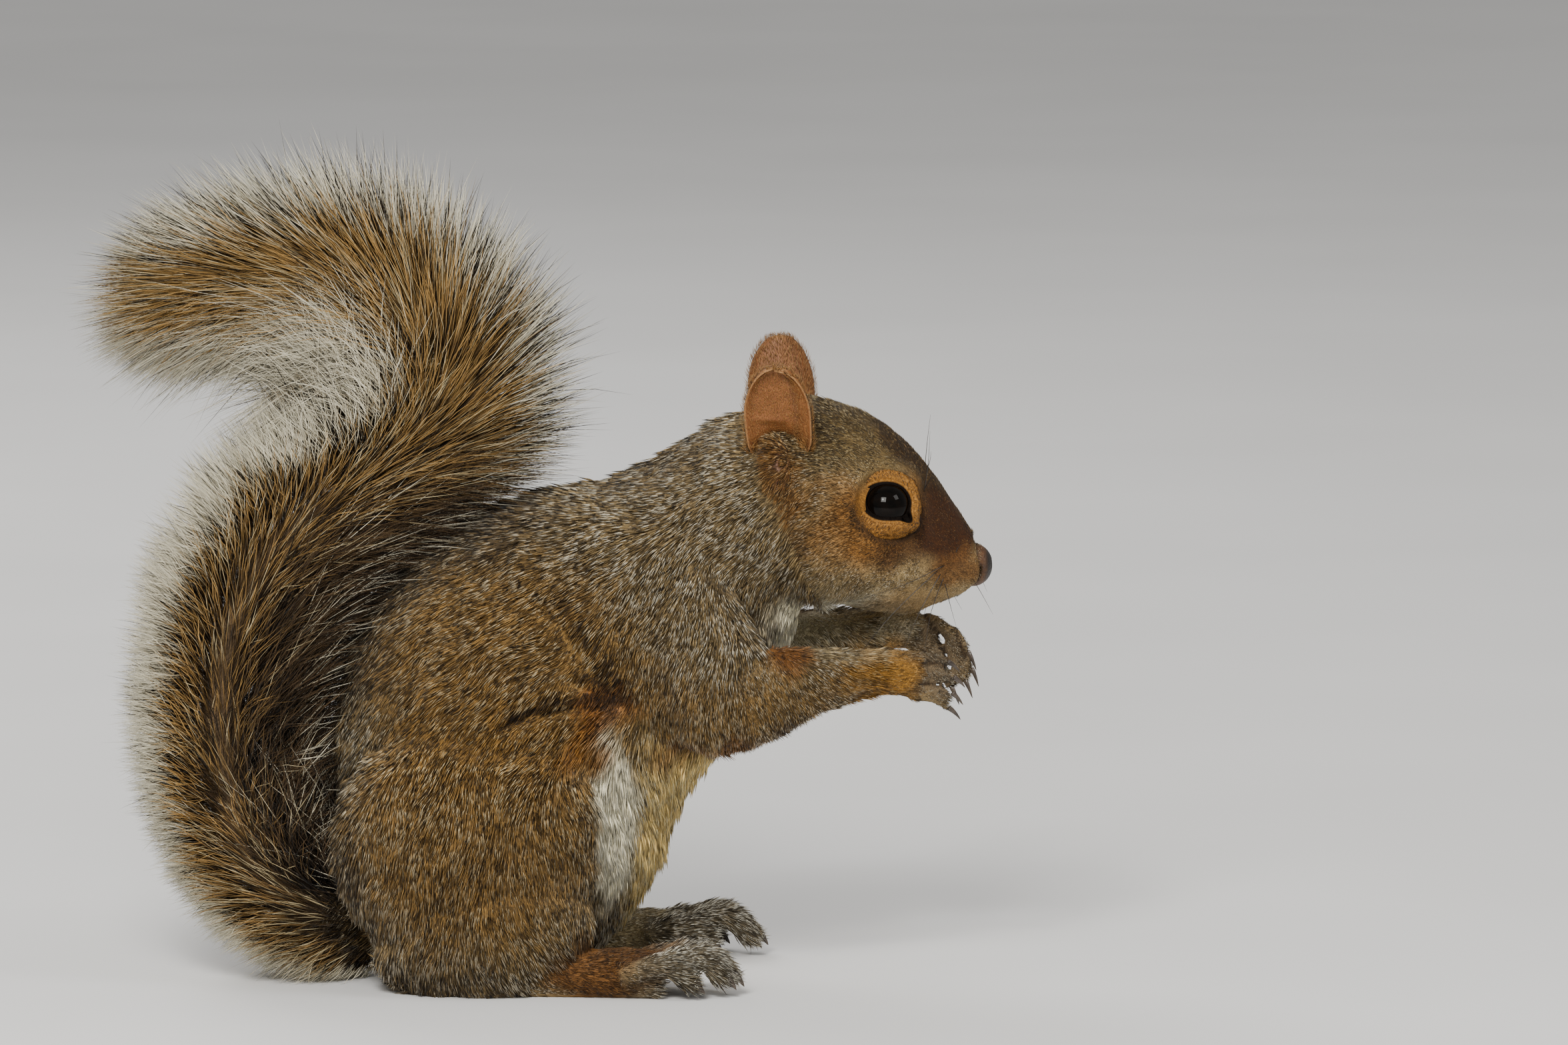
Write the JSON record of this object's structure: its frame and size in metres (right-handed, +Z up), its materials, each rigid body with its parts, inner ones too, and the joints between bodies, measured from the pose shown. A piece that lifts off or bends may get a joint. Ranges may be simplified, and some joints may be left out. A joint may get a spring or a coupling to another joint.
{
  "type": "grey squirrel",
  "caption": "Life-size eastern grey squirrel sitting upright, tail arched up behind its back, forepaws held together below its chin.",
  "frame": {"origin": "centre of the base of the bounding box, on the floor that the squirrel sits on", "axes": "+X the way the head faces, +Y the animal's left, +Z up"},
  "size_m": [0.2116, 0.084, 0.1962],
  "materials": {
    "grey_coat": "short glossy guard hair, grizzled grey over ochre, white below",
    "tail_coat": "long loose hair, ochre and black with silver-white tips",
    "paw_coat": "very short flat hair",
    "ear_skin": "thin skin under very short hair",
    "eye": "wet gloss",
    "nose_skin": "bare moist skin",
    "claw_horn": "smooth dark horn"
  },
  "bodies": {
    "root": {"claw_foot_left_1": "claw_horn", "claw_foot_left_2": "claw_horn", "claw_foot_left_3": "claw_horn", "claw_foot_left_4": "claw_horn", "claw_foot_left_5": "claw_horn", "claw_foot_right_1": "claw_horn", "claw_foot_right_2": "claw_horn", "claw_foot_right_3": "claw_horn", "claw_foot_right_4": "claw_horn", "claw_foot_right_5": "claw_horn", "claw_hand_left_1": "claw_horn", "claw_hand_left_2": "claw_horn", "claw_hand_left_3": "claw_horn", "claw_hand_left_4": "claw_horn", "claw_hand_right_1": "claw_horn", "claw_hand_right_2": "claw_horn", "claw_hand_right_3": "claw_horn", "claw_hand_right_4": "claw_horn", "ear_left": "ear_skin", "ear_right": "ear_skin", "eye_left": "eye", "eye_right": "eye", "forearm_left": "grey_coat", "forearm_right": "grey_coat", "hand_left": "paw_coat", "hand_right": "paw_coat", "head": "grey_coat", "hind_foot_left": "paw_coat", "hind_foot_right": "paw_coat", "neck": "grey_coat", "nose": "nose_skin", "shank_left": "grey_coat", "shank_right": "grey_coat", "tail_base": "tail_coat", "tail_middle": "tail_coat", "tail_tip": "tail_coat", "tail_upper": "tail_coat", "thigh_left": "grey_coat", "thigh_right": "grey_coat", "trunk": "grey_coat", "upper_arm_left": "grey_coat", "upper_arm_right": "grey_coat"}
  },
  "joints": []
}
